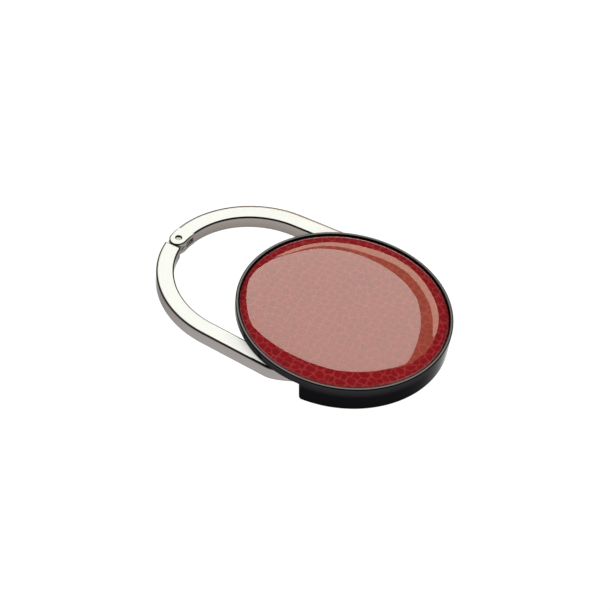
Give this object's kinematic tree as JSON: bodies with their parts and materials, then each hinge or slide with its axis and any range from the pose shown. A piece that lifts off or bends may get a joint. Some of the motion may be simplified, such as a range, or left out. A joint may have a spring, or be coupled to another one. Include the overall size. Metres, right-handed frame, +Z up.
{
  "type": "purse hook",
  "caption": "Folding table hook for a handbag: round rest with a domed leather inlay and a hinged loop of two curved arms that folds down and opens at its crown.",
  "frame": {"origin": "centre of the foot pad's underside, where the rest stands on a table", "axes": "+Z up out of the table through the domed inlay; -X towards the folded loop's crown; the hinged arm on the +Y side, the swinging arm on the -Y side"},
  "size_m": [0.0637, 0.045, 0.0069],
  "materials": {
    "gunmetal_plate": "polished black nickel plating",
    "bright_chrome": "polished",
    "red_leather": "crackled grain, semi-gloss",
    "clear_resin": "clear, glossy",
    "black_rubber": "matt",
    "plain_steel": "satin",
    "nickel_plate": "satin nickel",
    "brass": "plain",
    "white_film": "matt adhesive film",
    "white_nylon": "matt"
  },
  "bodies": {
    "rest": {"housing": "gunmetal_plate", "inlay_tape": "white_film", "leather_inlay": "red_leather", "resin_dome": "clear_resin", "bottom_cover": "gunmetal_plate", "foot_pad": "black_rubber", "cover_screw_1": "plain_steel", "cover_screw_2": "plain_steel", "cover_screw_3": "plain_steel", "fold_bush": "brass", "latch_magnet": "nickel_plate"},
    "loop": {"hinged_arm": "bright_chrome", "fold_pin": "plain_steel", "fold_washer": "white_nylon", "disc_spring": "plain_steel", "retaining_clip": "plain_steel", "crown_rivet": "plain_steel"},
    "opening_arm": {"swing_arm": "bright_chrome", "keeper_plug": "plain_steel", "crown_shim_upper": "white_nylon", "crown_shim_lower": "white_nylon"}
  },
  "joints": [
    {"name": "loop_fold", "type": "hinge", "parent": "rest", "child": "loop", "pos_m": [-0.0008, 0, 0.00305], "axis": [0, -1, 0], "range_deg": [0, 90]},
    {"name": "arm_open", "type": "hinge", "parent": "loop", "child": "opening_arm", "pos_m": [-0.03936, 0, 0.00305], "axis": [0, 0, -1], "range_deg": [0, 105]}
  ]
}
